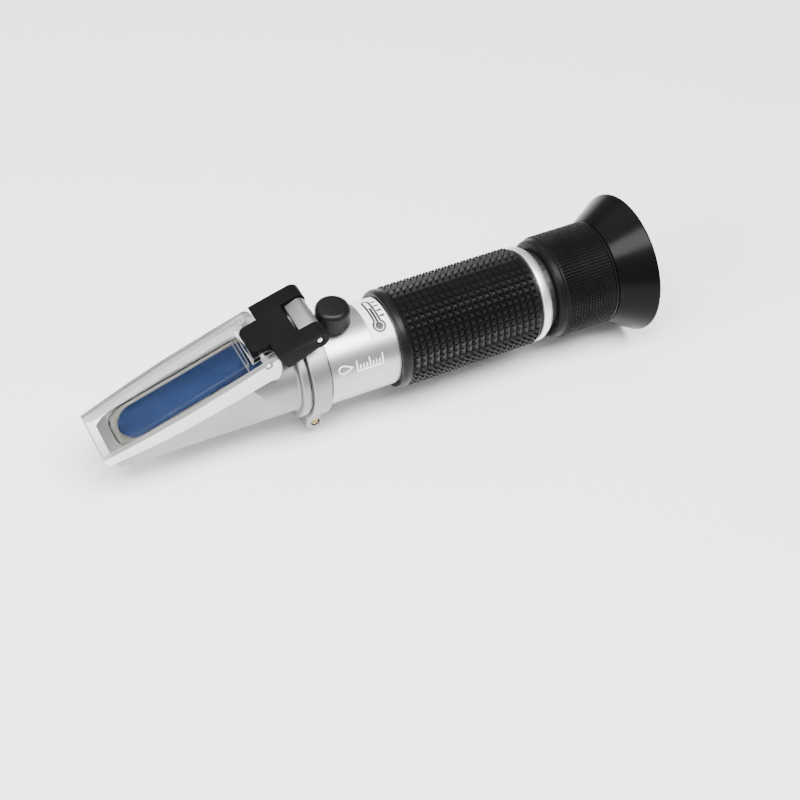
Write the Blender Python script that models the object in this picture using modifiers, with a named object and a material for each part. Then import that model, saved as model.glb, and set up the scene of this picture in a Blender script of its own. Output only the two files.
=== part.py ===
"""Hand-held refractometer for brewing and winemaking, built as an assembly of separate pieces.

The optical axis runs along X: the prism nose is at -X, the eyecup at +X, the prism faces up (+Z) and the
daylight plate swings up about a pin that lies along Y. The origin is at mid-length, under the axis, on the
plane that the eyecup's rim rests on.

Sizes are millimetres and become metres as each mesh is made. A station is a place along the axis, measured
from mid-length, and a height is measured from the optical axis.
"""
import math

import bmesh
import bpy
from mathutils import Matrix, Vector

MM = 0.001
FIT = 0.3                        # gap between pieces that touch

# Overall size
HALF_LENGTH = 80.0               # the instrument is 160 mm long
EYECUP_RADIUS = 20.0             # its rim is the widest part, and sets the height of the axis

# Tube, grip and rear ring
TUBE_RADIUS = 12.1
TUBE_BORE = 10.8
TUBE_FRONT = -23.4
GRIP_FRONT = 2.9
GRIP_REAR = 46.0
GRIP_RADIUS = 14.0
REAR_RING_REAR = 49.4

# Head: a round casting with a flat that slopes down towards the nose and carries the prism
HEAD_RADIUS = 10.5
HEAD_NOSE = -76.8
HEAD_SHOULDER_HALF_WIDTH = 7.3
HEAD_WAIST_HALF_WIDTH = 7.6
PRISM_SLOPE = math.radians(20.0)
PRISM_FLAT_STATION = -38.6       # the flat passes through this station at the height below
PRISM_FLAT_HEIGHT = 10.7
PRISM_FRONT = -72.0
PRISM_REAR = -34.0
PRISM_HALF_WIDTH = 5.0
SPIGOT_RADIUS = 10.4
SPIGOT_REAR = -15.0
LIGHT_BORE = 7.5
COLLAR_RADIUS = 12.7
COLLAR_FRONT = -25.9
COLLAR_REAR = -23.8
SEAL_FRONT = -20.4               # an O-ring in a groove of the spigot
SEAL_REAR = -19.3
SEAL_BORE = 9.4

# Daylight plate: a clear tray over the prism
PLATE_SLOPE = math.radians(21.6)
PLATE_TOP_HEIGHT = -0.65         # at the plate's front edge
PLATE_HALF_WIDTH = 9.2
PLATE_WALL = 1.2
PLATE_THICKNESS = 1.8
PAD_HALF_WIDTH = 5.5
PAD_FRONT = -73.6
PAD_REAR = -38.6
EAR_STATION = -34.0              # the ears are ovals, taller than they are long
EAR_HEIGHT = 12.4
EAR_HALF_LENGTH = 3.1
EAR_HALF_HEIGHT = 5.2
EAR_INNER_WIDTH = 6.3

# Cover bracket and its two pins
BRACKET_HALF_WIDTH = 9.6
BRACKET_SKIRT = 1.4
BRACKET_TOP_SLOPE = math.radians(18.0)
BRACKET_PLATE = 2.0
BRACKET_FRONT = -32.4
HINGE_STATION = -20.65
HINGE_HEIGHT = 19.0
HINGE_RADIUS = 2.6
KNUCKLE_RADIUS = 2.2
PIN_RADIUS = 0.8
PLATE_PIN_STATION = -34.6
PLATE_PIN_HEIGHT = 14.8
TONGUE_HALF_WIDTH = 4.6

# Clamp ring
BAND_RADIUS = 13.7
BAND_FRONT = -23.4
BAND_REAR = -18.3
KNUCKLE_HALF_WIDTH = 4.8
LUG_FRONT = -22.7
LUG_REAR = -18.5
LUG_HALF_WIDTH = 8.0
LUG_BOTTOM = -17.0
LUG_TOP = -9.0
LUG_DRAFT = math.radians(1.0)
CLAMP_SCREW_STATION = -20.1
CLAMP_SCREW_HEIGHT = -14.6
CLAMP_SPLIT = 1.0

# Calibration screw, its bush and its rubber cap
CALIBRATION_STATION = -12.6
BUSH_RADIUS = 3.2
BUSH_TOP = 15.6
CAP_RADIUS = 4.67
CAP_FOOT_RADIUS = 4.85
CAP_BASE = 13.8
CAP_TOP = 19.5
CAP_EDGE = 1.6

# Eyepiece
FOCUS_RADIUS = 14.7
FOCUS_FRONT = 51.3
FOCUS_REAR = 69.8
EYECUP_FRONT = 70.1

MATERIALS = {                    # colour, roughness, metallic, transmission
    "satin_aluminium": ((0.62, 0.61, 0.59), 0.38, 0.9, 0.0),
    "steel": ((0.62, 0.62, 0.62), 0.25, 1.0, 0.0),
    "brass": ((0.66, 0.50, 0.25), 0.35, 1.0, 0.0),
    "black_plastic": ((0.018, 0.018, 0.019), 0.5, 0.0, 0.0),
    "black_rubber": ((0.013, 0.013, 0.014), 0.55, 0.0, 0.0),
    "prism_glass": ((0.10, 0.16, 0.34), 0.06, 0.0, 0.3),
    "clear_acrylic": ((0.93, 0.94, 0.94), 0.08, 0.0, 0.9),
    "lens_glass": ((0.90, 0.95, 0.95), 0.03, 0.0, 0.9),
    "grey_seal": ((0.42, 0.41, 0.38), 0.6, 0.0, 0.0),
    "white_label": ((0.85, 0.85, 0.83), 0.45, 0.0, 0.0),
}


def clear_scene():
    for old in list(bpy.data.objects):
        bpy.data.objects.remove(old, do_unlink=True)


def make_collection(name):
    collection = bpy.data.collections.new(name)
    bpy.context.scene.collection.children.link(collection)
    return collection


def material(name):
    found = bpy.data.materials.get(name)
    if found:
        return found
    colour, roughness, metallic, transmission = MATERIALS[name]
    made = bpy.data.materials.new(name)
    made.use_nodes = True
    shader = made.node_tree.nodes["Principled BSDF"]
    shader.inputs["Base Color"].default_value = (*colour, 1.0)
    shader.inputs["Roughness"].default_value = roughness
    shader.inputs["Metallic"].default_value = metallic
    shader.inputs["Transmission Weight"].default_value = transmission
    return made


clear_scene()
PARTS = make_collection("refractometer")
CUTTERS = make_collection("refractometer_cutters")
AXIS = bpy.data.objects.new("optical_axis", None)
AXIS.location = (0.0, 0.0, EYECUP_RADIUS * MM)
PARTS.objects.link(AXIS)


# ---------------------------------------------------------------- helpers

def prism_flat(station, lift=0.0):
    """Height of the prism's sloping flat at a station, plus a lift square to the flat."""
    rise = (station - PRISM_FLAT_STATION) * math.tan(PRISM_SLOPE)
    return PRISM_FLAT_HEIGHT + rise + lift / math.cos(PRISM_SLOPE)


def plate_top(station, lift=0.0):
    """Height of the daylight plate's top at a station, plus a lift square to it."""
    rise = (station + HALF_LENGTH) * math.tan(PLATE_SLOPE)
    return PLATE_TOP_HEIGHT + rise + lift / math.cos(PLATE_SLOPE)


def bracket_top(station):
    crest_station = HINGE_STATION - HINGE_RADIUS * math.sin(BRACKET_TOP_SLOPE)
    crest_height = HINGE_HEIGHT + HINGE_RADIUS * math.cos(BRACKET_TOP_SLOPE)
    return crest_height + (station - crest_station) * math.tan(BRACKET_TOP_SLOPE)


def arc(centre, radius, start, end, steps):
    """Points on an arc between two angles in degrees."""
    points = []
    for step in range(steps + 1):
        angle = math.radians(start + (end - start) * step / steps)
        points.append((centre[0] + radius * math.cos(angle), centre[1] + radius * math.sin(angle)))
    return points


def add(name, mesh, origin=(0.0, 0.0, 0.0), rotation=(0.0, 0.0, 0.0), slot=None):
    """Link a mesh as a piece, at a place given from the axis in millimetres."""
    piece = bpy.data.objects.new(name, mesh)
    (PARTS if slot else CUTTERS).objects.link(piece)
    piece.parent = AXIS
    piece.location = Vector(origin) * MM
    piece.rotation_euler = rotation
    if slot:
        mesh.materials.append(material(slot))
    else:
        piece.hide_render = True
        piece.display_type = "WIRE"
    return piece


def turned(name, profile, slot=None, segments=48, origin=(0.0, 0.0, 0.0), upright=False, closed=True):
    """Turn a profile of (along, radius) points, listed from the far end along the outer side.

    The turning axis is the optical axis, or vertical where upright is set.
    """
    mesh = bpy.data.meshes.new(name)
    corners = [(radius * MM, 0.0, along * MM) for along, radius in profile]
    edges = [(index, index + 1) for index in range(len(corners) - 1)]
    if closed:
        edges.append((len(corners) - 1, 0))
    mesh.from_pydata(corners, edges, [])
    rotation = (0.0, 0.0, 0.0) if upright else (0.0, math.pi / 2.0, 0.0)
    piece = add(name, mesh, origin, rotation, slot)
    screw = piece.modifiers.new("turn", "SCREW")
    screw.axis = "Z"
    screw.angle = 2.0 * math.pi
    screw.steps = segments
    screw.render_steps = segments
    screw.use_merge_vertices = True
    screw.merge_threshold = 0.00001
    return piece


def ring(name, front, rear, outer, inner, slot=None, **options):
    profile = [(rear, outer), (front, outer), (front, inner), (rear, inner)]
    return turned(name, profile, slot, **options)


def rod(name, front, rear, radius, slot=None, **options):
    profile = [(rear, 0.0), (rear, radius), (front, radius), (front, 0.0)]
    return turned(name, profile, slot, closed=False, **options)


def cross_rod(name, station, height, radius, half_length, slot=None, segments=20, across=0.0):
    """A round bar along Y, with its middle at a place across the axis."""
    mesh = bpy.data.meshes.new(name)
    shape = bmesh.new()
    bmesh.ops.create_cone(shape, cap_ends=True, segments=segments, radius1=radius * MM,
                          radius2=radius * MM, depth=2.0 * half_length * MM)
    shape.to_mesh(mesh)
    shape.free()
    return add(name, mesh, (station, across, height), (math.pi / 2.0, 0.0, 0.0), slot)


def box(name, low, high, slot=None):
    mesh = bpy.data.meshes.new(name)
    shape = bmesh.new()
    size = Vector(high) - Vector(low)
    bmesh.ops.create_cube(shape, size=1.0, matrix=Matrix.Diagonal((*(size * MM), 1.0)))
    shape.to_mesh(mesh)
    shape.free()
    return add(name, mesh, (Vector(low) + Vector(high)) / 2.0, (0.0, 0.0, 0.0), slot)


def extruded(name, outline, low, high, plane, slot=None):
    """A flat outline given thickness from low to high: plane "XY" lies flat, "XZ" stands along X,
    and "YZ" stands across it."""
    curve = bpy.data.curves.new(name, "CURVE")
    curve.dimensions = "2D"
    curve.fill_mode = "BOTH"
    curve.extrude = (high - low) / 2.0 * MM
    spline = curve.splines.new("POLY")
    spline.points.add(len(outline) - 1)
    for point, (across, along) in zip(spline.points, outline):
        point.co = (across * MM, along * MM, 0.0, 1.0)
    spline.use_cyclic_u = True
    guide = bpy.data.objects.new(name + "_outline", curve)
    CUTTERS.objects.link(guide)
    middle = (low + high) / 2.0
    origin = {"XY": (0.0, 0.0, middle), "XZ": (0.0, middle, 0.0), "YZ": (middle, 0.0, 0.0)}[plane]
    rotation = {"XY": (0.0, 0.0, 0.0),
                "XZ": (math.pi / 2.0, 0.0, 0.0),
                "YZ": (math.pi / 2.0, 0.0, math.pi / 2.0)}[plane]
    guide.parent = AXIS
    guide.location = Vector(origin) * MM
    guide.rotation_euler = rotation
    bpy.context.view_layer.update()
    evaluated = guide.evaluated_get(bpy.context.evaluated_depsgraph_get())
    mesh = bpy.data.meshes.new_from_object(evaluated)
    mesh.name = name
    place = guide.matrix_world.copy()
    bpy.data.objects.remove(guide, do_unlink=True)
    shape = bmesh.new()
    shape.from_mesh(mesh)
    bmesh.ops.remove_doubles(shape, verts=shape.verts, dist=0.000001)
    shape.to_mesh(mesh)
    shape.free()
    mesh.materials.clear()
    piece = add(name, mesh, slot=slot)
    piece.matrix_world = place
    return piece


def combine(target, tool, operation):
    step = target.modifiers.new(operation.lower(), "BOOLEAN")
    step.operation = operation
    step.solver = "EXACT"
    step.object = tool


def cut(target, *tools):
    for tool in tools:
        combine(target, tool, "DIFFERENCE")


def join(target, *tools):
    for tool in tools:
        combine(target, tool, "UNION")


def keep(target, *tools):
    for tool in tools:
        combine(target, tool, "INTERSECT")


def mirrored(half):
    """An outline from its half with positive second coordinates, listed front to rear."""
    return half + [(along, -across) for along, across in reversed(half)]


# ---------------------------------------------------------------- head

def prism_outline(margin):
    """Plan of the prism: parallel sides and a rounded front."""
    half_width = PRISM_HALF_WIDTH + margin
    front = PRISM_FRONT - margin
    nose = arc((front + half_width, 0.0), half_width, 180.0, 90.0, 6)
    return mirrored(nose + [(PRISM_REAR + margin, half_width)])[1:]


def prism_body(name, margin, top_lift, slot=None):
    """The prism's block: its sloping top, a level bottom and an upright rear face."""
    body = extruded(name, prism_outline(margin), -5.0 - margin, 20.0, "XY", slot)
    cover = [(-90.0, prism_flat(-90.0, top_lift)), (-20.0, prism_flat(-20.0, top_lift)),
             (-20.0, 40.0), (-90.0, 40.0)]
    cut(body, extruded(name + "_top_cutter", cover, -15.0, 15.0, "XZ"))
    return body


def gasket_outline(margin):
    half = arc((-69.6, 2.0), 4.2 + margin, 180.0, 90.0, 4) + [(-35.0 + margin, 6.2 + margin)]
    return mirrored(half)


def sloping_slab(name, outline, low, high, slot=None):
    """An outline in plan, kept between two planes that are parallel to the prism's flat."""
    slab = extruded(name, outline, -20.0, 30.0, "XY", slot)
    band = [(-90.0, prism_flat(-90.0, low)), (-20.0, prism_flat(-20.0, low)),
            (-20.0, prism_flat(-20.0, high)), (-90.0, prism_flat(-90.0, high))]
    keep(slab, extruded(name + "_band", band, -15.0, 15.0, "XZ"))
    return slab


def make_prism_housing():
    plan = mirrored([(HEAD_NOSE, 4.9), (-74.5, 6.4), (-67.0, 7.1), (-57.0, HEAD_WAIST_HALF_WIDTH),
                     (-40.0, HEAD_WAIST_HALF_WIDTH), (-35.0, HEAD_RADIUS), (-31.0, HEAD_RADIUS)])
    housing = extruded("prism_housing", plan, -14.0, 18.0, "XY", "satin_aluminium")

    shoulder = math.degrees(math.acos(HEAD_SHOULDER_HALF_WIDTH / HEAD_RADIUS))
    section = arc((0.0, 0.0), HEAD_RADIUS, shoulder, -180.0 - shoulder, 40)
    section += [(-HEAD_SHOULDER_HALF_WIDTH, 18.0), (HEAD_SHOULDER_HALF_WIDTH, 18.0)]
    keep(housing, extruded("head_section", section, -90.0, -20.0, "YZ"))

    lean = math.tan(PRISM_SLOPE)
    side = [(HEAD_NOSE + 12.0 * lean, prism_flat(HEAD_NOSE) - 12.0), (-31.0, -14.0),
            (-31.0, prism_flat(-31.0)), (HEAD_NOSE, prism_flat(HEAD_NOSE))]
    keep(housing, extruded("head_side", side, -15.0, 15.0, "XZ"))

    rear = turned("head_rear", [(SPIGOT_REAR, 0.0), (SPIGOT_REAR, SPIGOT_RADIUS),
                                (COLLAR_REAR, SPIGOT_RADIUS), (COLLAR_REAR, COLLAR_RADIUS - 0.2),
                                (COLLAR_REAR - 0.2, COLLAR_RADIUS), (COLLAR_FRONT + 0.5, COLLAR_RADIUS),
                                (COLLAR_FRONT, COLLAR_RADIUS - 0.6), (COLLAR_FRONT - 0.6, HEAD_RADIUS),
                                (-33.0, HEAD_RADIUS), (-33.0, 0.0)], segments=40, closed=False)
    join(housing, rear)
    cut(housing,
        prism_body("prism_pocket", FIT, 5.0),
        sloping_slab("gasket_pocket", gasket_outline(FIT), -0.9 - FIT, 5.0),
        rod("light_bore", -40.0, SPIGOT_REAR + 5.0, LIGHT_BORE, segments=32),
        ring("seal_groove", SEAL_FRONT - FIT, SEAL_REAR + FIT, TUBE_RADIUS, SEAL_BORE - FIT, segments=40))


def make_prism():
    prism_body("prism", 0.0, 0.0, "prism_glass")


def make_prism_gasket():
    gasket = sloping_slab("prism_gasket", gasket_outline(0.0), -0.9, -0.05, "grey_seal")
    cut(gasket, extruded("prism_clearance", prism_outline(FIT), -20.0, 30.0, "XY"))


def make_aperture_stop():
    ring("aperture_stop", -18.0, -17.0, LIGHT_BORE - FIT, 4.0, "black_plastic", segments=32)


def make_head_seal():
    ring("head_seal", SEAL_FRONT, SEAL_REAR, TUBE_BORE - FIT, SEAL_BORE, "black_rubber", segments=40)


# ---------------------------------------------------------------- daylight plate and bracket

def plate_plan(inset):
    half = [(-HALF_LENGTH - 1.0 + inset, 7.5), (-67.0, 8.7), (-57.0, PLATE_HALF_WIDTH),
            (-43.0, PLATE_HALF_WIDTH), (-25.0, PLATE_HALF_WIDTH - 0.4)]
    return mirrored([(along, across - inset) for along, across in half])


def plate_side():
    """Side view of the tray: a straight top, a front square to it, and ears round the rear pin."""
    lean = math.tan(PLATE_SLOPE)
    front_bottom = (-HALF_LENGTH + 4.3 * lean, PLATE_TOP_HEIGHT - 4.3)
    ear = []
    for along, across in arc((0.0, 0.0), 1.0, -44.0, 112.0, 13):
        ear.append((EAR_STATION + EAR_HALF_LENGTH * along, EAR_HEIGHT + EAR_HALF_HEIGHT * across))
    lower_edge = [(-58.0, 1.0), (-34.0, 9.0)]
    return [(-HALF_LENGTH, PLATE_TOP_HEIGHT), front_bottom] + lower_edge + ear


def make_daylight_plate():
    plate = extruded("daylight_plate", plate_plan(0.0), -20.0, 30.0, "XY", "clear_acrylic")
    keep(plate, extruded("plate_side", plate_side(), -15.0, 15.0, "XZ"))

    hollow = extruded("plate_hollow", plate_plan(PLATE_WALL), -20.0, 30.0, "XY")
    lean = math.tan(PLATE_SLOPE)
    front = -HALF_LENGTH + 1.0 / math.cos(PLATE_SLOPE)
    under = [(front + PLATE_THICKNESS * lean, plate_top(front) - PLATE_THICKNESS),
             (front + 20.0 * lean, plate_top(front) - 20.0), (-20.0, -20.0),
             (-20.0, plate_top(-20.0, -PLATE_THICKNESS))]
    keep(hollow, extruded("plate_underside", under, -15.0, 15.0, "XZ"))
    cut(plate, hollow)

    pad = extruded("plate_pad", mirrored([(PAD_FRONT, PAD_HALF_WIDTH), (PAD_REAR, PAD_HALF_WIDTH)]),
                   -20.0, 30.0, "XY")
    layer = [(-90.0, prism_flat(-90.0, FIT)), (-20.0, prism_flat(-20.0, FIT)),
             (-20.0, plate_top(-20.0, -1.0)), (-90.0, plate_top(-90.0, -1.0))]
    keep(pad, extruded("pad_layer", layer, -15.0, 15.0, "XZ"))
    join(plate, pad)
    cut(plate,
        box("tongue_notch", (-37.8, -EAR_INNER_WIDTH, 5.0), (-20.0, EAR_INNER_WIDTH, 24.0)),
        cross_rod("plate_pin_hole", PLATE_PIN_STATION, PLATE_PIN_HEIGHT, PIN_RADIUS + FIT, 12.0))


def make_cover_bracket():
    side = [(BRACKET_FRONT, bracket_top(BRACKET_FRONT)), (-29.3, 12.5),
            (HINGE_STATION - 0.4, HINGE_HEIGHT - HINGE_RADIUS)]
    side += arc((HINGE_STATION, HINGE_HEIGHT), HINGE_RADIUS, -90.0, 108.0, 12)
    bracket = extruded("cover_bracket", side, -BRACKET_HALF_WIDTH, BRACKET_HALF_WIDTH, "XZ",
                       "black_plastic")

    inside = BRACKET_HALF_WIDTH - BRACKET_SKIRT
    hollow = [(-40.0, bracket_top(-40.0) - BRACKET_PLATE), (-40.0, 5.0), (-25.6, 5.0),
              (-25.6, bracket_top(-25.6) - BRACKET_PLATE)]
    cut(bracket,
        extruded("bracket_hollow", hollow, -inside, inside, "XZ"),
        box("knuckle_notch", (-25.2, -KNUCKLE_HALF_WIDTH - FIT, 10.0),
            (-10.0, KNUCKLE_HALF_WIDTH + FIT, 30.0)))

    tongue_top = bracket_top(-36.0) - 0.25
    tongue = [(-31.2, bracket_top(-31.2) - 0.25), (-36.0, tongue_top), (-37.0, tongue_top - 0.9),
              (-37.3, tongue_top - 2.2), (-37.3, prism_flat(-37.3, 0.5)),
              (-31.2, prism_flat(-31.2, 0.5))]
    join(bracket, extruded("tongue", tongue, -TONGUE_HALF_WIDTH, TONGUE_HALF_WIDTH, "XZ"))
    cut(bracket,
        cross_rod("hinge_hole", HINGE_STATION, HINGE_HEIGHT, PIN_RADIUS + FIT, 12.0),
        cross_rod("tongue_hole", PLATE_PIN_STATION, PLATE_PIN_HEIGHT, PIN_RADIUS + FIT, 12.0))


def make_cover_pins():
    cross_rod("hinge_pin", HINGE_STATION, HINGE_HEIGHT, PIN_RADIUS, 9.5, "steel", 16)
    cross_rod("plate_pin", PLATE_PIN_STATION, PLATE_PIN_HEIGHT, PIN_RADIUS, 8.8, "steel", 16)


# ---------------------------------------------------------------- clamp ring

def make_clamp_ring():
    clamp = rod("clamp_ring", BAND_FRONT, BAND_REAR, BAND_RADIUS, "satin_aluminium", segments=48)
    knuckle = [(-24.4, HINGE_HEIGHT + 0.5), (BAND_FRONT + 0.2, 12.7), (BAND_REAR - 0.2, 12.7)]
    knuckle += arc((HINGE_STATION, HINGE_HEIGHT), KNUCKLE_RADIUS, -10.0, 108.0, 8)
    foot_middle = LUG_BOTTOM + LUG_HALF_WIDTH * math.tan(LUG_DRAFT)
    lugs = [(-LUG_HALF_WIDTH, LUG_BOTTOM), (0.0, foot_middle), (LUG_HALF_WIDTH, LUG_BOTTOM),
            (LUG_HALF_WIDTH, LUG_TOP), (-LUG_HALF_WIDTH, LUG_TOP)]
    join(clamp,
         extruded("knuckle", knuckle, -KNUCKLE_HALF_WIDTH, KNUCKLE_HALF_WIDTH, "XZ"),
         extruded("clamp_lugs", lugs, LUG_FRONT, LUG_REAR, "YZ"))
    cut(clamp,
        rod("clamp_bore", BAND_FRONT - 3.0, BAND_REAR + 3.0, TUBE_RADIUS + FIT),
        box("clamp_split", (-30.0, -CLAMP_SPLIT / 2.0, -20.0), (-10.0, CLAMP_SPLIT / 2.0, -11.0)),
        cross_rod("knuckle_hole", HINGE_STATION, HINGE_HEIGHT, PIN_RADIUS + FIT, 12.0),
        cross_rod("clamp_screw_hole", CLAMP_SCREW_STATION, CLAMP_SCREW_HEIGHT, 1.0 + FIT, 12.0))


def make_clamp_screw():
    screw = cross_rod("clamp_screw", CLAMP_SCREW_STATION, CLAMP_SCREW_HEIGHT, 1.0, 7.7, "brass", 16)
    cut(screw, box("clamp_screw_slot", (CLAMP_SCREW_STATION - 2.0, -9.0, CLAMP_SCREW_HEIGHT - 0.2),
                   (CLAMP_SCREW_STATION + 2.0, -7.2, CLAMP_SCREW_HEIGHT + 0.2)))


# ---------------------------------------------------------------- tube and calibration

def make_main_tube():
    tube = ring("main_tube", TUBE_FRONT, GRIP_REAR, TUBE_RADIUS, TUBE_BORE, "satin_aluminium")
    cut(tube, rod("bush_hole", 5.0, 16.0, BUSH_RADIUS - 0.6 + FIT, segments=24, upright=True,
                  origin=(CALIBRATION_STATION, 0.0, 0.0)))


def make_calibration_bush():
    """A threaded bush in the tube's wall, with a flange that the cap goes over."""
    stem = BUSH_RADIUS - 0.6
    profile = [(BUSH_TOP, BUSH_RADIUS), (TUBE_RADIUS + FIT, BUSH_RADIUS), (TUBE_RADIUS + FIT, stem),
               (TUBE_BORE - 0.2, stem), (TUBE_BORE - 0.2, 1.8), (BUSH_TOP - 2.0, 1.8),
               (BUSH_TOP - 2.0, 2.4), (BUSH_TOP, 2.4)]
    turned("calibration_bush", profile, "steel", segments=24, upright=True,
           origin=(CALIBRATION_STATION, 0.0, 0.0))


def make_calibration_screw():
    screw = rod("calibration_screw", 9.3, BUSH_TOP + 0.9, 1.5, "brass", segments=20, upright=True,
                origin=(CALIBRATION_STATION, 0.0, 0.0))
    cut(screw, box("calibration_slot", (CALIBRATION_STATION - 3.0, -0.25, BUSH_TOP + 0.1),
                   (CALIBRATION_STATION + 3.0, 0.25, BUSH_TOP + 4.0)))


def make_screw_seal():
    ring("screw_seal", BUSH_TOP - 1.4, BUSH_TOP - 0.7, 2.15, 1.75, "black_rubber", segments=20,
         upright=True, origin=(CALIBRATION_STATION, 0.0, 0.0))


def make_calibration_cap():
    """A short rubber cap with a rounded upper edge, over the bush and the head of the screw."""
    edge = arc((CAP_TOP - CAP_EDGE, CAP_RADIUS - CAP_EDGE), CAP_EDGE, 0.0, 90.0, 5)
    inner = BUSH_RADIUS + FIT
    profile = [(CAP_TOP, 0.0)] + edge
    profile += [(CAP_BASE + 1.4, CAP_RADIUS), (CAP_BASE, CAP_FOOT_RADIUS), (CAP_BASE, inner),
                (BUSH_TOP + 1.5, inner), (BUSH_TOP + 1.8, 0.0)]
    turned("calibration_cap", profile, "black_rubber", segments=32, upright=True,
           origin=(CALIBRATION_STATION, 0.0, 0.0), closed=False)


def make_info_label():
    label = ring("info_label", -4.0, 2.5, TUBE_RADIUS + FIT + 0.15, TUBE_RADIUS + 0.12, "white_label",
                 segments=96)
    half_angle = math.radians(38.0)
    reach = 20.0
    window = [(0.0, 0.0), (-reach * math.sin(half_angle), reach * math.cos(half_angle)),
              (reach * math.sin(half_angle), reach * math.cos(half_angle))]
    keep(label, extruded("label_window", window, -8.0, 8.0, "YZ"))


def make_grip():
    profile = [(GRIP_REAR, GRIP_RADIUS), (6.1, GRIP_RADIUS), (5.5, 13.5), (5.0, 13.8), (3.6, 13.8),
               (GRIP_FRONT, 13.1), (GRIP_FRONT, TUBE_RADIUS + FIT), (GRIP_REAR, TUBE_RADIUS + FIT)]
    turned("grip", profile, "black_rubber")


# ---------------------------------------------------------------- inside the tube

def make_lens_carrier():
    """A ring for the objective lens, with an arm under the calibration screw."""
    carrier = ring("lens_carrier", -5.0, 1.0, 9.3, 7.3, "black_plastic", segments=36)
    join(carrier, box("carrier_arm", (CALIBRATION_STATION - 1.4, -2.4, 7.8), (-4.0, 2.4, 9.0)))
    cut(carrier, cross_rod("pivot_hole", -2.0, 0.0, 1.1, 12.0))


def lens(name, front, rear, radius, bulge):
    """A lens with an edge band and two curved faces."""
    faces = []
    for step in range(5):
        share = step / 4.0
        faces.append((rear + bulge * (1.0 - share ** 2), radius * share))
    mirrored_faces = [(front - (along - rear), across) for along, across in reversed(faces)]
    turned(name, faces + mirrored_faces, "lens_glass", segments=28, closed=False)


def make_carrier_pivots():
    for name, side in (("carrier_pivot_near", -1.0), ("carrier_pivot_far", 1.0)):
        cross_rod(name, -2.0, 0.0, 0.8, 1.15, "steel", 14, across=side * 9.35)


def make_bimetal_strip():
    outline = [(-14.6, -9.9), (-9.5, -9.7), (-5.4, -9.0), (-5.4, -8.6), (-9.5, -9.3), (-14.6, -9.5)]
    extruded("bimetal_strip", outline, -2.5, 2.5, "XZ", "brass")


def make_carrier_spring():
    outline = [(-14.6, 5.2), (-10.5, 7.1), (-8.0, 7.4), (-8.0, 7.1), (-10.4, 6.8), (-14.6, 4.9)]
    extruded("carrier_spring", outline, -1.6, 1.6, "XZ", "steel")


def make_reticle():
    rod("reticle", 30.0, 31.5, 9.0, "lens_glass", segments=32)
    profile = [(34.5, 10.5), (27.0, 10.5), (27.0, 8.0), (29.7, 8.0), (29.7, 9.3), (34.5, 9.3)]
    turned("reticle_holder", profile, "black_plastic", segments=40)


# ---------------------------------------------------------------- eyepiece

def make_rear_ring():
    spigot = 10.5
    profile = [(REAR_RING_REAR, 12.5), (REAR_RING_REAR - 0.5, 12.95), (47.9, 13.1), (47.7, 13.6),
               (46.6, 13.65), (GRIP_REAR + FIT, 13.3), (GRIP_REAR + FIT, spigot), (38.0, spigot),
               (38.0, 9.6), (REAR_RING_REAR, 9.6)]
    turned("rear_ring", profile, "satin_aluminium")


def make_eyepiece_barrel():
    profile = [(60.0, 11.6), (REAR_RING_REAR + FIT, 11.6), (REAR_RING_REAR + FIT, 9.3), (40.0, 9.3),
               (40.0, 8.0), (49.0, 8.0), (49.0, 8.6), (60.0, 8.6)]
    turned("eyepiece_barrel", profile, "black_plastic", segments=40)


def make_lens_cell():
    profile = [(66.4, 8.3), (64.6, 8.3), (64.6, 11.0), (62.0, 11.0), (62.0, 8.3), (51.0, 8.3),
               (51.0, 5.8), (52.4, 5.8), (52.4, 7.0), (66.4, 7.0)]
    turned("lens_cell", profile, "black_plastic", segments=40)


def make_eyepiece_lenses():
    lens("field_lens", 53.9, 55.1, 6.7, 0.9)
    ring("lens_spacer", 56.3, 58.9, 6.7, 5.8, "black_plastic", segments=28)
    lens("eye_lens", 60.3, 62.3, 6.7, 1.2)
    ring("lens_lock_ring", 63.8, 65.6, 6.7, 5.4, "black_plastic", segments=28)
    lens("objective_lens", -2.8, -1.2, 6.9, 1.0)


def make_focus_ring():
    profile = [(FOCUS_REAR, FOCUS_RADIUS), (53.6, FOCUS_RADIUS), (53.3, 14.2), (52.2, 14.1),
               (51.6, 13.7), (FOCUS_FRONT, 13.0), (FOCUS_FRONT, 11.9), (61.6, 11.9), (61.6, 11.3),
               (67.0, 11.3), (67.0, 8.8), (FOCUS_REAR, 8.8)]
    turned("focus_ring", profile, "black_plastic")


def make_eyecup():
    bowl_floor = EYECUP_FRONT + 1.6
    profile = [(HALF_LENGTH, 19.3), (HALF_LENGTH, EYECUP_RADIUS), (HALF_LENGTH - 0.6, EYECUP_RADIUS),
               (EYECUP_FRONT + 0.6, 15.0), (EYECUP_FRONT, 14.6), (EYECUP_FRONT, 8.6),
               (bowl_floor, 8.6), (bowl_floor, 13.6), (HALF_LENGTH - 0.4, 19.0)]
    turned("eyecup", profile, "black_rubber", segments=64)


def smooth_round_pieces():
    for piece in PARTS.objects:
        if piece.type != "MESH":
            continue
        piece.data.shade_smooth()
        piece.data.set_sharp_from_angle(angle=math.radians(35.0))


def make_refractometer():
    make_prism_housing()
    make_prism()
    make_prism_gasket()
    make_aperture_stop()
    make_head_seal()
    make_daylight_plate()
    make_cover_bracket()
    make_cover_pins()
    make_clamp_ring()
    make_clamp_screw()
    make_main_tube()
    make_calibration_bush()
    make_calibration_screw()
    make_screw_seal()
    make_calibration_cap()
    make_info_label()
    make_grip()
    make_lens_carrier()
    make_carrier_pivots()
    make_bimetal_strip()
    make_carrier_spring()
    make_reticle()
    make_rear_ring()
    make_eyepiece_barrel()
    make_lens_cell()
    make_eyepiece_lenses()
    make_focus_ring()
    make_eyecup()
    smooth_round_pieces()


make_refractometer()
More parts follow.
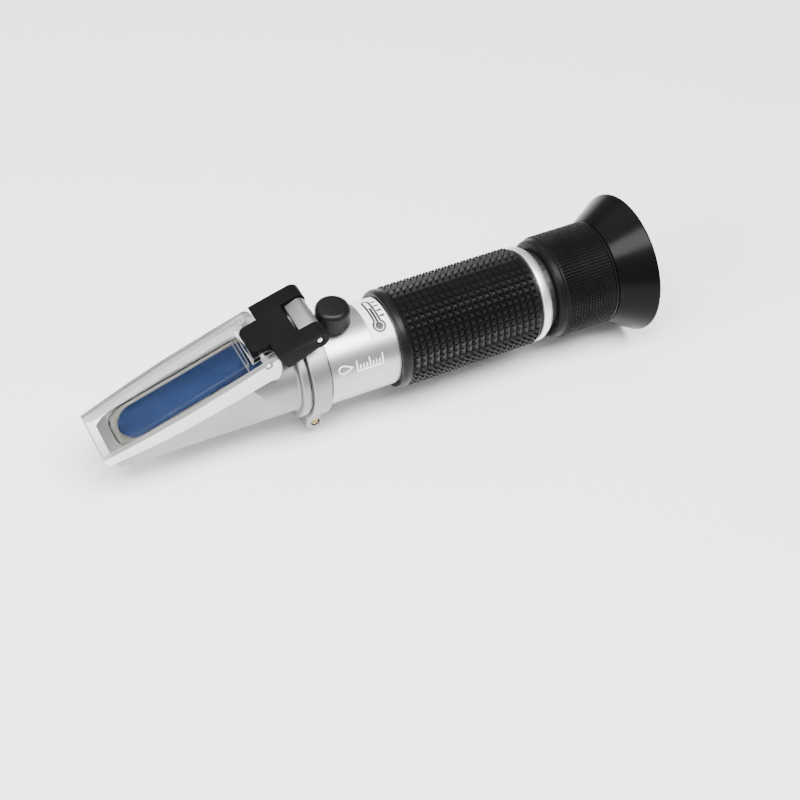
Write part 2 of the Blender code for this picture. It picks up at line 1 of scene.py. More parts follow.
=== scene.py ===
"""Looks for the hand-held refractometer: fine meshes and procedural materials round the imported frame.

Sizes are millimetres and become metres as each mesh is made. As in the frame, X runs along the optical
axis towards the eyecup, Z is up, and heights are measured from the optical axis.
"""
import math

import bmesh
import bpy
from mathutils import Matrix, Vector


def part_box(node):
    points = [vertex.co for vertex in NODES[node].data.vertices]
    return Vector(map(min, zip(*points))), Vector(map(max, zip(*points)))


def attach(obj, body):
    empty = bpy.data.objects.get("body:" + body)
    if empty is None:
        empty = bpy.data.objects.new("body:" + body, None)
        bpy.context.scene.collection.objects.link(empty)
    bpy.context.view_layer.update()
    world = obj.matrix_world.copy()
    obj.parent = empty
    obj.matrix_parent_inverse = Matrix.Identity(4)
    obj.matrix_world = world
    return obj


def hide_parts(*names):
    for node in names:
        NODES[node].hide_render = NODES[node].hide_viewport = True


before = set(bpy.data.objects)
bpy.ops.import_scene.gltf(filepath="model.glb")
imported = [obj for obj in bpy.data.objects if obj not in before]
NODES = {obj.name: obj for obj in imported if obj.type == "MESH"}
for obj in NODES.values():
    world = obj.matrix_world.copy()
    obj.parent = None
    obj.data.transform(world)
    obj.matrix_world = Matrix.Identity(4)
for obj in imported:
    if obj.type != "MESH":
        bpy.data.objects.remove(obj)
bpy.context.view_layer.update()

MM = 0.001


def node_box(name):
    """A node's lowest and highest corners in millimetres, with heights from the optical axis."""
    low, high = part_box(name)
    return low / MM - AXIS_OFFSET, high / MM - AXIS_OFFSET


EYECUP_LOW, EYECUP_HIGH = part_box("eyecup")
AXIS_HEIGHT = (EYECUP_LOW.z + EYECUP_HIGH.z) / 2.0 / MM
AXIS_OFFSET = Vector((0.0, 0.0, AXIS_HEIGHT))


def node_middle(name):
    """The station and height of a node's middle."""
    low, high = node_box(name)
    return (low.x + high.x) / 2.0, (low.z + high.z) / 2.0


# Turned pieces, from the frame
TUBE_RADIUS = node_box("main_tube")[1].y
TUBE_FRONT = node_box("main_tube")[0].x
GRIP_FRONT = node_box("grip")[0].x
GRIP_REAR = node_box("grip")[1].x
GRIP_RADIUS = node_box("grip")[1].y
BAND_FRONT = TUBE_FRONT
BAND_REAR = -18.3
BAND_RADIUS = node_box("clamp_ring")[1].y
FOCUS_FRONT = node_box("focus_ring")[0].x
FOCUS_REAR = node_box("focus_ring")[1].x
FOCUS_RADIUS = node_box("focus_ring")[1].y
EYECUP_FRONT = node_box("eyecup")[0].x
EYECUP_REAR = node_box("eyecup")[1].x
EYECUP_RADIUS = node_box("eyecup")[1].y
CAP_STATION = node_middle("calibration_cap")[0]
CAP_RADIUS = node_box("calibration_cap")[1].y
CAP_TOP = node_box("calibration_cap")[1].z
HINGE_STATION, HINGE_HEIGHT = node_middle("hinge_pin")
PLATE_PIN_STATION, PLATE_PIN_HEIGHT = node_middle("plate_pin")
SCREW_STATION, SCREW_HEIGHT = node_middle("clamp_screw")

# Segments round a turned piece
FINE = 160
FINEST = 192

FIT = 0.3                        # clearance between neighbours
PIN_HOLE_RADIUS = 1.1
SCREW_HOLE_RADIUS = 1.3
STUD_LEAN = 0.12                 # of a pyramid's height, towards its mould sector's middle
STUD_SHORTENING = 0.15           # of a pyramid's height, least at its mould sector's middle
FIRST_SECTOR = math.radians(5.0)
MOULD_SECTORS = 6


# ---------------------------------------------------------------- mesh helpers

def place(x, y, height):
    return Vector((x, y, height + AXIS_HEIGHT)) * MM


def finished(name, vertices, faces, sharp=32.0):
    """A closed mesh facing outwards, shaded smooth up to its sharp edges."""
    mesh = bpy.data.meshes.new(name)
    mesh.from_pydata(vertices, [], faces)
    shape = bmesh.new()
    shape.from_mesh(mesh)
    bmesh.ops.remove_doubles(shape, verts=shape.verts, dist=0.0000005)
    bmesh.ops.recalc_face_normals(shape, faces=shape.faces)
    shape.to_mesh(mesh)
    shape.free()
    piece = bpy.data.objects.new(name, mesh)
    bpy.context.scene.collection.objects.link(piece)
    shade(piece, sharp)
    return piece


def shade(piece, sharp=32.0):
    piece.data.shade_smooth()
    piece.data.set_sharp_from_angle(angle=math.radians(sharp))


def turned_point(axis, centre, along, radius, angle):
    """A point of a turned shape: angle 0 is straight up for an axis along X or Y."""
    if axis == "X":
        return place(along, centre[0] + radius * math.sin(angle), centre[1] + radius * math.cos(angle))
    if axis == "Y":
        return place(centre[0] + radius * math.sin(angle), along, centre[1] + radius * math.cos(angle))
    return place(centre[0] + radius * math.cos(angle), centre[1] + radius * math.sin(angle), along)


def lathe(name, profile, segments=FINE, axis="X", centre=(0.0, 0.0), closed=True, sharp=32.0):
    """Turn (along, radius) points round an axis; an open profile starts and ends on the axis."""
    vertices = []
    rings = []
    for along, radius in profile:
        count = 1 if radius < 0.0001 else segments
        ring = []
        for step in range(count):
            ring.append(len(vertices))
            vertices.append(turned_point(axis, centre, along, radius, 2.0 * math.pi * step / segments))
        rings.append(ring)
    pairs = list(zip(rings, rings[1:]))
    if closed:
        pairs.append((rings[-1], rings[0]))
    faces = []
    for first, second in pairs:
        for step in range(segments):
            after = (step + 1) % segments
            corners = [first[step % len(first)], first[after % len(first)],
                       second[after % len(second)], second[step % len(second)]]
            face = list(dict.fromkeys(corners))
            if len(face) > 2:
                faces.append(face)
    return finished(name, vertices, faces, sharp)


def fillet(points, steps=5, closed=True):
    """Round the corners of an outline of (along, across, radius) points."""
    outline = []
    count = len(points)
    for index, (along, across, radius) in enumerate(points):
        corner = Vector((along, across))
        is_end = not closed and index in (0, count - 1)
        if radius <= 0.0 or is_end:
            outline.append(tuple(corner))
            continue
        before = (Vector(points[index - 1][:2]) - corner).normalized()
        after = (Vector(points[(index + 1) % count][:2]) - corner).normalized()
        half = before.angle(after) / 2.0
        if half > math.radians(89.0):
            outline.append(tuple(corner))
            continue
        centre = corner + (before + after).normalized() * (radius / math.sin(half))
        start = corner + before * (radius / math.tan(half)) - centre
        end = corner + after * (radius / math.tan(half)) - centre
        for step in range(steps + 1):
            swept = start.lerp(end, step / steps)
            outline.append(tuple(centre + swept.normalized() * radius))
    return outline


def arc(centre, radius, start, end, steps):
    points = []
    for step in range(steps + 1):
        angle = math.radians(start + (end - start) * step / steps)
        points.append((centre[0] + radius * math.cos(angle), centre[1] + radius * math.sin(angle)))
    return points


def mirrored(half):
    return half + [(along, -across) for along, across in reversed(half)]


def extruded(name, outline, low, high, plane):
    """An outline given thickness: "XY" lies flat, "XZ" stands along the axis, "YZ" across it."""
    vertices = []
    for level in (low, high):
        for first, second in outline:
            point = {"XY": (first, second, level), "XZ": (first, level, second),
                     "YZ": (level, first, second)}[plane]
            vertices.append(place(*point))
    count = len(outline)
    faces = [list(range(count)), list(range(count, 2 * count))]
    for index in range(count):
        after = (index + 1) % count
        faces.append([index, after, count + after, count + index])
    return finished(name, vertices, faces)


def box(name, low, high):
    outline = [(low[0], low[1]), (high[0], low[1]), (high[0], high[1]), (low[0], high[1])]
    return extruded(name, outline, low[2], high[2], "XY")


def cross_hole(name, radius, station, height):
    """A cutter for a hole right across the object."""
    profile = [(-12.0, 0.0), (-12.0, radius), (12.0, radius), (12.0, 0.0)]
    return lathe(name, profile, 40, "Y", (station, height), closed=False)


def bake(piece):
    """Apply a piece's modifiers."""
    evaluated = piece.evaluated_get(bpy.context.evaluated_depsgraph_get())
    mesh = bpy.data.meshes.new_from_object(evaluated)
    mesh.name = piece.name
    piece.modifiers.clear()
    piece.data = mesh
    return piece


def combine(target, tool, operation):
    """Join, cut or intersect with a tool, which is used up."""
    step = target.modifiers.new(operation.lower(), "BOOLEAN")
    step.operation = operation
    step.solver = "EXACT"
    step.object = tool
    bake(target)
    bpy.data.objects.remove(tool, do_unlink=True)
    return target


def join(target, *tools):
    for tool in tools:
        combine(target, tool, "UNION")
    return target


def cut(target, *tools):
    for tool in tools:
        combine(target, tool, "DIFFERENCE")
    return target


def keep(target, *tools):
    for tool in tools:
        combine(target, tool, "INTERSECT")
    return target


def soften(piece, width, segments=2, angle=30.0, sharp=32.0):
    """Round a finished solid's edges."""
    shape = bmesh.new()
    shape.from_mesh(piece.data)
    bmesh.ops.dissolve_limit(shape, angle_limit=math.radians(1.0), verts=shape.verts, edges=shape.edges)
    shape.to_mesh(piece.data)
    shape.free()
    step = piece.modifiers.new("edge", "BEVEL")
    step.width = width * MM
    step.segments = segments
    step.limit_method = "ANGLE"
    step.angle_limit = math.radians(angle)
    step.harden_normals = False
    bake(piece)
    shade(piece, sharp)
    return piece


def dress(piece, material, body, slot, *nodes):
    """Give a piece its material and the body it rides on, and hide the nodes it stands for; slot is not
    used.
    """
    piece.data.materials.clear()
    piece.data.materials.append(material)
    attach(piece, body)
    if nodes:
        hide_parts(*nodes)
    return piece


# ---------------------------------------------------------------- materials

def new_material(name):
    made = bpy.data.materials.new(name)
    made.use_nodes = True
    return made, made.node_tree.nodes, made.node_tree.links, made.node_tree.nodes["Principled BSDF"]


def object_noise(nodes, links, scale, detail=4.0, stretch=(1.0, 1.0, 1.0)):
    """Noise fixed to the piece, with features of about 1 / scale metres."""
    coordinates = nodes.new("ShaderNodeTexCoord")
    mapping = nodes.new("ShaderNodeMapping")
    mapping.inputs["Scale"].default_value = stretch
    noise = nodes.new("ShaderNodeTexNoise")
    noise.inputs["Scale"].default_value = scale
    noise.inputs["Detail"].default_value = detail
    links.new(coordinates.outputs["Object"], mapping.inputs["Vector"])
    links.new(mapping.outputs["Vector"], noise.inputs["Vector"])
    return noise


def ramp(nodes, links, source, low, high, start=0.3, end=0.7):
    """Map a 0 to 1 value onto a range of colours or greys."""
    made = nodes.new("ShaderNodeValToRGB")
    made.color_ramp.elements[0].position = start
    made.color_ramp.elements[1].position = end
    made.color_ramp.elements[0].color = (*low, 1.0) if isinstance(low, tuple) else (low, low, low, 1.0)
    made.color_ramp.elements[1].color = (*high, 1.0) if isinstance(high, tuple) else (high, high, high, 1.0)
    links.new(source, made.inputs["Fac"])
    return made.outputs["Color"]


def bump(nodes, links, shader, height, strength, distance):
    made = nodes.new("ShaderNodeBump")
    made.inputs["Strength"].default_value = strength
    made.inputs["Distance"].default_value = distance
    links.new(height, made.inputs["Height"])
    links.new(made.outputs["Normal"], shader.inputs["Normal"])


def surface(name, dark, light, roughness, grain, depth, metallic=0.0, coat=0.0, specular=0.5,
            stretch=(1.0, 1.0, 1.0)):
    """A solid finish: a slow colour drift, a roughness range and a fine grain in the bump."""
    made, nodes, links, shader = new_material(name)
    slow = object_noise(nodes, links, 90.0, 3.0)
    fine = object_noise(nodes, links, grain, 5.0, stretch)
    links.new(ramp(nodes, links, slow.outputs["Fac"], dark, light), shader.inputs["Base Color"])
    links.new(ramp(nodes, links, fine.outputs["Fac"], roughness[0], roughness[1]),
              shader.inputs["Roughness"])
    bump(nodes, links, shader, fine.outputs["Fac"], 0.35, depth)
    shader.inputs["Metallic"].default_value = metallic
    shader.inputs["Coat Weight"].default_value = coat
    shader.inputs["Coat Roughness"].default_value = 0.12
    shader.inputs["Specular IOR Level"].default_value = specular
    return made


def clear_surface(name, tint, roughness, ior, clearness=1.0):
    """A clear moulding, with the faint polish marks of a plastic or glass face."""
    made, nodes, links, shader = new_material(name)
    fine = object_noise(nodes, links, 1500.0, 3.0)
    links.new(ramp(nodes, links, fine.outputs["Fac"], roughness, roughness + 0.03),
              shader.inputs["Roughness"])
    shader.inputs["Base Color"].default_value = (*tint, 1.0)
    shader.inputs["Transmission Weight"].default_value = clearness
    shader.inputs["IOR"].default_value = ior
    return made


SATIN_TUBE = surface("satin_tube", (0.46, 0.455, 0.44), (0.52, 0.515, 0.50), (0.30, 0.40), 9000.0,
                     0.00001, metallic=1.0)
SATIN_CAST = surface("satin_casting", (0.27, 0.27, 0.275), (0.32, 0.32, 0.32), (0.36, 0.48), 7000.0,
                     0.000015, metallic=1.0)
BRIGHT_RING = surface("bright_ring", (0.82, 0.82, 0.81), (0.88, 0.88, 0.87), (0.36, 0.46), 9000.0,
                      0.000006, metallic=1.0)
STEEL = surface("turned_steel", (0.60, 0.60, 0.60), (0.72, 0.72, 0.72), (0.18, 0.3), 6000.0, 0.00001,
                metallic=1.0)
BRASS = surface("turned_brass", (0.55, 0.40, 0.18), (0.70, 0.54, 0.27), (0.25, 0.4), 6000.0, 0.00001,
                metallic=1.0)
BRACKET_BLACK = surface("bracket_black", (0.003, 0.003, 0.0032), (0.0045, 0.0045, 0.0048), (0.42, 0.55),
                        8000.0, 0.000012, specular=0.05)
CAP_RUBBER = surface("cap_rubber", (0.003, 0.003, 0.003), (0.005, 0.005, 0.005), (0.30, 0.40), 5000.0,
                     0.00001, specular=0.15)
GRIP_RUBBER = surface("grip_rubber", (0.003, 0.003, 0.003), (0.005, 0.005, 0.0045), (0.26, 0.40), 6000.0,
                      0.00001, specular=0.15)
FOCUS_BLACK = surface("focus_black", (0.003, 0.003, 0.003), (0.005, 0.005, 0.005), (0.30, 0.42), 6000.0,
                      0.000008, specular=0.08)
EYECUP_RUBBER = surface("eyecup_rubber", (0.002, 0.002, 0.0022), (0.003, 0.003, 0.0033), (0.22, 0.24),
                        1500.0, 0.0000002, specular=0.07)
INNER_BLACK = surface("inner_black", (0.004, 0.004, 0.004), (0.007, 0.007, 0.007), (0.4, 0.5), 5000.0,
                      0.00001)
SEAL_GREY = surface("seal_grey", (0.095, 0.092, 0.080), (0.125, 0.12, 0.105), (0.5, 0.6), 5000.0, 0.00001)
LABEL_WHITE = surface("label_white", (0.80, 0.80, 0.78), (0.86, 0.86, 0.84), (0.32, 0.42), 5000.0,
                      0.000004)
PRINT_BLACK = surface("print_black", (0.010, 0.010, 0.010), (0.016, 0.016, 0.016), (0.35, 0.45), 5000.0,
                      0.000004)
ETCHED = surface("etched_metal", (0.90, 0.90, 0.89), (0.95, 0.95, 0.94), (0.5, 0.6), 9000.0, 0.00001)
PRISM_GLASS = surface("prism_glass", (0.011, 0.020, 0.052), (0.015, 0.026, 0.064), (0.22, 0.28), 800.0,
                      0.000002, specular=0.0)
CLEAR_ACRYLIC = clear_surface("clear_acrylic", (0.95, 0.955, 0.955), 0.0, 1.06)
# Whitish frosted acrylic for the tray's frosted sides, also laid on its narrow bevel faces as a painted edge
# highlight
FROSTED_ACRYLIC_AND_HIGHLIGHT = clear_surface("frosted_acrylic_and_highlight", (1.0, 0.99, 0.975), 0.4, 1.35, 0.25)
# Grey translucent acrylic: painted shade for the dark lines at the clear tray's side edges and upper sides
ACRYLIC_PAINTED_SHADE = clear_surface("acrylic_painted_shade", (0.30, 0.30, 0.295), 0.3, 1.2, 0.4)
LENS_GLASS = clear_surface("lens_glass", (0.93, 0.97, 0.98), 0.0, 1.52)


# ---------------------------------------------------------------- head

PRISM_SLOPE = math.radians(20.0)
PLATE_SLOPE = math.radians(21.6)
HALF_LENGTH = -node_box("daylight_plate")[0].x
PLATE_TOP_HEIGHT = -0.65
SLAB_THICKNESS = 1.8
HEAD_RADIUS = 10.5
HEAD_NOSE = node_box("prism_housing")[0].x
COLLAR_RADIUS = node_box("prism_housing")[1].y
COLLAR_FRONT = -25.9
COLLAR_REAR = -23.8
HEAD_END = -31.0                 # where the cast section meets the turned rear
SHOULDER_HALF_WIDTH = 7.3
REAR_STEP = 0.03                 # keeps the turned rear clear of the cast section's cylinder
GASKET_DEPTH = 0.9
PLATE_SIDE = 7.0                 # beyond this the tray's faces are its sides
PLATE_NOSE = 3.0                 # length of the tray's front face
EDGE_WIDTH = 0.12                # faces narrower than this are the tray's rounded edges
FROSTED_AND_HIGHLIGHT_SLOT = 1
PAINTED_SHADE_SLOT = 2


def prism_flat(station, lift=0.0):
    """Height of the head's sloping flat at a station, plus a lift square to it."""
    return 10.7 + (station + 38.6) * math.tan(PRISM_SLOPE) + lift / math.cos(PRISM_SLOPE)


def plate_top(station, lift=0.0):
    rise = (station + HALF_LENGTH) * math.tan(PLATE_SLOPE)
    return PLATE_TOP_HEIGHT + rise + lift / math.cos(PLATE_SLOPE)


def prism_outline(margin):
    half_width = 5.0 + margin
    front = -72.0 - margin
    nose = arc((front + half_width, 0.0), half_width, 180.0, 90.0, 20)
    return mirrored(nose + [(-34.0 + margin, half_width)])[1:]


def prism_body(name, margin, top_lift):
    body = extruded(name, prism_outline(margin), -5.0 - margin, 20.0, "XY")
    above = [(-90.0, prism_flat(-90.0, top_lift)), (-20.0, prism_flat(-20.0, top_lift)),
             (-20.0, 40.0), (-90.0, 40.0)]
    return cut(body, extruded(name + "_top", above, -15.0, 15.0, "XZ"))


def gasket_outline(margin):
    half = arc((-69.6, 2.0), 4.2 + margin, 180.0, 90.0, 14) + [(-35.0 + margin, 6.2 + margin)]
    return mirrored(half)


def sloping_slab(name, outline, low, high):
    slab = extruded(name, outline, -20.0, 30.0, "XY")
    band = [(-90.0, prism_flat(-90.0, low)), (-20.0, prism_flat(-20.0, low)),
            (-20.0, prism_flat(-20.0, high)), (-90.0, prism_flat(-90.0, high))]
    return keep(slab, extruded(name + "_band", band, -15.0, 15.0, "XZ"))


def make_housing():
    plan = mirrored([(HEAD_NOSE, 4.9), (-74.5, 6.4), (-67.0, 7.1), (-57.0, 7.6), (-40.0, 7.6),
                     (-35.0, HEAD_RADIUS), (HEAD_END, HEAD_RADIUS)])
    housing = extruded("head_casting", plan, -14.0, 18.0, "XY")
    shoulder = math.degrees(math.acos(SHOULDER_HALF_WIDTH / HEAD_RADIUS))
    section = arc((0.0, 0.0), HEAD_RADIUS, shoulder, -180.0 - shoulder, 120)
    section += [(-SHOULDER_HALF_WIDTH, 18.0), (SHOULDER_HALF_WIDTH, 18.0)]
    keep(housing, extruded("head_section", section, -90.0, -20.0, "YZ"))
    lean = math.tan(PRISM_SLOPE)
    side = [(HEAD_NOSE + 12.0 * lean, prism_flat(HEAD_NOSE) - 12.0), (HEAD_END, -14.0),
            (HEAD_END, prism_flat(HEAD_END)), (HEAD_NOSE, prism_flat(HEAD_NOSE))]
    keep(housing, extruded("head_side", side, -15.0, 15.0, "XZ"))
    soften(housing, 0.3, 3, 30.0)
    groove = node_box("head_seal")
    spigot = 10.4
    step = HEAD_RADIUS + REAR_STEP
    overlap = HEAD_END - 0.5
    rear = fillet([(-15.0, 0.0, 0.0), (-15.0, spigot, 0.0), (groove[1].x + FIT, spigot, 0.0),
                   (groove[1].x + FIT, 9.1, 0.0), (groove[0].x - FIT, 9.1, 0.0),
                   (groove[0].x - FIT, spigot, 0.0), (COLLAR_REAR, spigot, 0.0),
                   (COLLAR_REAR, COLLAR_RADIUS, 0.25), (COLLAR_FRONT, COLLAR_RADIUS, 0.6),
                   (COLLAR_FRONT - 0.3, step, 0.6), (overlap, step, 0.0), (overlap, 0.0, 0.0)],
                  6, closed=False)
    join(housing, lathe("head_rear", rear, FINE, closed=False))
    cut(housing,
        prism_body("prism_pocket", FIT, 5.0),
        sloping_slab("gasket_pocket", gasket_outline(FIT), -GASKET_DEPTH - FIT, 5.0),
        lathe("light_bore", [(-40.0, 0.0), (-40.0, 7.5), (-10.0, 7.5), (-10.0, 0.0)], 64, closed=False))
    shade(housing, 24.0)
    dress(housing, SATIN_CAST, "barrel", "satin_casting", "prism_housing")


def plate_plan(inset):
    half = [(-HALF_LENGTH - 1.0 + inset, 7.5), (-73.0, 8.2), (-67.0, 8.7), (-57.0, 9.2), (-43.0, 9.2),
            (-25.0, 8.8)]
    return mirrored([(along, across - inset) for along, across in half])


def make_daylight_plate():
    """A clear tray: polished above and below, and frosted round its sides; its narrow bevel faces carry a
    painted highlight in the frosted finish, and those at the sides, with the upright sides above the slab, a
    painted grey shade.
    """
    lean = math.tan(PLATE_SLOPE)
    ear = [(-34.0 + 3.1 * along, 12.4 + 5.2 * across)
           for along, across in arc((0.0, 0.0), 1.0, -44.0, 112.0, 30)]
    side = [(-HALF_LENGTH, PLATE_TOP_HEIGHT), (-HALF_LENGTH + 4.3 * lean, PLATE_TOP_HEIGHT - 4.3),
            (-58.0, 1.0), (-34.0, 9.0)] + ear
    plate = extruded("daylight_tray", plate_plan(0.0), -20.0, 30.0, "XY")
    keep(plate, extruded("side", side, -15.0, 15.0, "XZ"))

    front = -HALF_LENGTH + 1.0 / math.cos(PLATE_SLOPE)
    under = [(front + SLAB_THICKNESS * lean, plate_top(front) - SLAB_THICKNESS),
             (front + 20.0 * lean, plate_top(front) - 20.0), (-20.0, -20.0),
             (-20.0, plate_top(-20.0, -SLAB_THICKNESS))]
    hollow = extruded("hollow", plate_plan(1.2), -20.0, 30.0, "XY")
    keep(hollow, extruded("under", under, -15.0, 15.0, "XZ"))
    cut(plate, hollow)

    pad = extruded("pad", mirrored([(-73.6, 5.5), (-38.6, 5.5)]), -20.0, 30.0, "XY")
    layer = [(-90.0, prism_flat(-90.0, FIT)), (-20.0, prism_flat(-20.0, FIT)),
             (-20.0, plate_top(-20.0, -1.0)), (-90.0, plate_top(-90.0, -1.0))]
    keep(pad, extruded("layer", layer, -15.0, 15.0, "XZ"))
    join(plate, pad)
    cut(plate,
        box("notch", (-37.8, -6.3, 5.0), (-20.0, 6.3, 24.0)),
        cross_hole("pin_hole", PIN_HOLE_RADIUS, PLATE_PIN_STATION, PLATE_PIN_HEIGHT))
    soften(plate, 0.22, 2, 28.0)
    across = Vector((-math.sin(PLATE_SLOPE), 0.0, math.cos(PLATE_SLOPE)))
    level = place(-HALF_LENGTH, 0.0, plate_top(-HALF_LENGTH, -SLAB_THICKNESS))
    shape = bmesh.new()
    shape.from_mesh(plate.data)
    bmesh.ops.bisect_plane(shape, geom=shape.verts[:] + shape.edges[:] + shape.faces[:], dist=0.000001,
                           plane_co=level, plane_no=across)
    shape.to_mesh(plate.data)
    shape.free()
    dress(plate, CLEAR_ACRYLIC, "plate", "clear_acrylic", "daylight_plate")
    plate.data.materials.append(FROSTED_ACRYLIC_AND_HIGHLIGHT)
    plate.data.materials.append(ACRYLIC_PAINTED_SHADE)
    for face in plate.data.polygons:
        middle = face.center / MM
        corners = [plate.data.vertices[index].co for index in face.vertices]
        rim = sum((start - end).length for start, end in zip(corners, corners[1:] + corners[:1]))
        is_edge = face.area < EDGE_WIDTH * MM * rim
        is_side = abs(middle.y) > PLATE_SIDE and face.normal.y * middle.y > 0.0
        is_nose = middle.x < -HALF_LENGTH + PLATE_NOSE and face.normal.x < -0.5
        is_upright = abs(face.normal.z) < 0.5
        is_low = (face.center - level).dot(across) < 0.0
        # Narrow bevel faces at the sides and the upright sides above the slab level get the painted grey
        # edge shade
        if (is_edge and abs(middle.y) > PLATE_SIDE) or (is_upright and is_side and not is_low):
            face.material_index = PAINTED_SHADE_SLOT
        # Other narrow bevel faces get the frosted finish as a painted white edge highlight; the upright
        # sides below the slab and the nose are frosted
        elif is_edge or (is_upright and (is_side or is_nose)):
            face.material_index = FROSTED_AND_HIGHLIGHT_SLOT


def make_head():
    make_housing()
    gasket = sloping_slab("gasket_sheet", gasket_outline(0.0), -GASKET_DEPTH, -0.05)
    cut(gasket, extruded("prism_clearance", prism_outline(FIT), -20.0, 30.0, "XY"))
    dress(gasket, SEAL_GREY, "barrel", "grey_seal", "prism_gasket")
    block = prism_body("prism_block", 0.0, 0.0)
    dress(block, PRISM_GLASS, "barrel", "prism_glass", "prism")
    paint("head_seal", CAP_RUBBER)
    paint("aperture_stop", INNER_BLACK)


def paint(name, material):
    """Give a CAD node that stays its finish."""
    piece = NODES[name]
    piece.data.materials.clear()
    piece.data.materials.append(material)
    for face in piece.data.polygons:
        face.material_index = 0


# ---------------------------------------------------------------- bracket, pins and clamp

def make_bracket():
    slope = math.radians(18.0)
    radius = 2.6
    crest = (HINGE_STATION - radius * math.sin(slope), HINGE_HEIGHT + radius * math.cos(slope))

    def top(station):
        return crest[1] + (station - crest[0]) * math.tan(slope)

    side = [(-32.4, top(-32.4)), (-29.3, 12.5), (HINGE_STATION - 0.4, HINGE_HEIGHT - radius)]
    side += arc((HINGE_STATION, HINGE_HEIGHT), radius, -90.0, 108.0, 28)
    bracket = extruded("bracket_cap", side, -9.6, 9.6, "XZ")
    hollow = [(-40.0, top(-40.0) - 2.0), (-40.0, 5.0), (-25.6, 5.0), (-25.6, top(-25.6) - 2.0)]
    cut(bracket,
        extruded("hollow", hollow, -8.2, 8.2, "XZ"),
        box("notch", (-25.3, -5.1, 10.0), (-10.0, 5.1, 30.0)))
    side = fillet([(-30.0, top(-30.0) - 0.01, 0.0), (-37.3, top(-37.3) - 0.02, 1.2),
                   (-37.3, prism_flat(-37.3, 0.5), 0.0), (-30.0, prism_flat(-30.0, 0.5), 0.0)], 8)
    tongue = extruded("tongue", side, -4.6, 4.6, "XZ")
    plan = fillet([(-37.4, 4.6, 1.4), (-28.0, 4.6, 0.0), (-28.0, -4.6, 0.0), (-37.4, -4.6, 1.4)], 8)
    keep(tongue, extruded("tongue_plan", plan, 0.0, 30.0, "XY"))
    join(bracket, tongue)
    for station, height in ((HINGE_STATION, HINGE_HEIGHT), (PLATE_PIN_STATION, PLATE_PIN_HEIGHT)):
        cut(bracket, cross_hole("pin_hole", PIN_HOLE_RADIUS, station, height))
    soften(bracket, 0.3, 3, 35.0)
    dress(bracket, BRACKET_BLACK, "cover", "black_plastic", "cover_bracket")


def make_pins():
    for name, node, body, station, height in (
            ("hinge_pin_turned", "hinge_pin", "barrel", HINGE_STATION, HINGE_HEIGHT),
            ("plate_pin_turned", "plate_pin", "cover", PLATE_PIN_STATION, PLATE_PIN_HEIGHT)):
        reach = node_box(node)[1].y
        ends = [(-reach, 0.0, 0.0), (-reach, 0.8, 0.25), (reach, 0.8, 0.25), (reach, 0.0, 0.0)]
        pin = lathe(name, fillet(ends, 4, closed=False), 48, "Y", (station, height), closed=False)
        dress(pin, STEEL, body, "steel", node)


def make_clamp():
    outer = BAND_RADIUS
    bore = TUBE_RADIUS + FIT
    clamp = lathe("clamp_band", fillet([(BAND_REAR, outer, 0.25), (BAND_FRONT, outer, 0.35),
                                        (BAND_FRONT, bore - 1.0, 0.0), (BAND_REAR, bore - 1.0, 0.0)]))
    knuckle = [(-24.4, HINGE_HEIGHT + 0.5), (BAND_FRONT + 0.2, 12.9), (BAND_REAR - 0.2, 12.9)]
    knuckle += arc((HINGE_STATION, HINGE_HEIGHT), 2.2, -10.0, 108.0, 24)
    top = soften(extruded("knuckle", knuckle, -4.8, 4.8, "XZ"), 0.25, 3, 50.0)
    lugs = soften(box("lugs", (-22.7, -8.0, -17.0), (-18.5, 8.0, -9.0)), 0.4, 3)
    join(clamp, top, lugs)
    cut(clamp,
        lathe("bore", [(-30.0, 0.0), (-30.0, bore), (-10.0, bore), (-10.0, 0.0)], closed=False),
        box("split", (-30.0, -0.5, -20.0), (-10.0, 0.5, -11.0)),
        cross_hole("knuckle_hole", PIN_HOLE_RADIUS, HINGE_STATION, HINGE_HEIGHT),
        cross_hole("screw_hole", SCREW_HOLE_RADIUS, SCREW_STATION, SCREW_HEIGHT))
    shade(clamp, 25.0)
    dress(clamp, SATIN_CAST, "barrel", "satin_casting", "clamp_ring")
    screw = lathe("clamp_screw_turned", fillet([(-7.7, 0.0, 0.0), (-7.7, 1.0, 0.15), (7.7, 1.0, 0.15),
                                                (7.7, 0.0, 0.0)], 4, closed=False), 48, "Y",
                  (SCREW_STATION, SCREW_HEIGHT), closed=False)
    cut(screw, box("slot", (SCREW_STATION - 2.0, -9.0, SCREW_HEIGHT - 0.2),
                   (SCREW_STATION + 2.0, -7.2, SCREW_HEIGHT + 0.2)))
    dress(screw, BRASS, "barrel", "brass", "clamp_screw")


# ---------------------------------------------------------------- tube, label and calibration

def make_tube():
    bore = TUBE_RADIUS - 1.3
    profile = fillet([(GRIP_REAR, TUBE_RADIUS, 0.0), (TUBE_FRONT, TUBE_RADIUS, 0.2), (TUBE_FRONT, bore, 0.0),
                      (GRIP_REAR, bore, 0.0)])
    tube = lathe("tube_body", profile, FINEST)
    gap = BAND_REAR + 0.6
    groove_floor = TUBE_RADIUS - 1.1
    clear = TUBE_RADIUS + 1.0
    cut(tube,
        lathe("bush_hole", [(5.0, 0.0), (5.0, 2.9), (16.0, 2.9), (16.0, 0.0)], 48, "Z",
              (CAP_STATION, 0.0), closed=False),
        lathe("band_gap", [(gap, groove_floor), (gap, clear), (gap + 0.45, clear),
                           (gap + 0.45, groove_floor)], FINEST))
    shade(tube, 30.0)
    dress(tube, SATIN_TUBE, "barrel", "satin_tube", "main_tube")


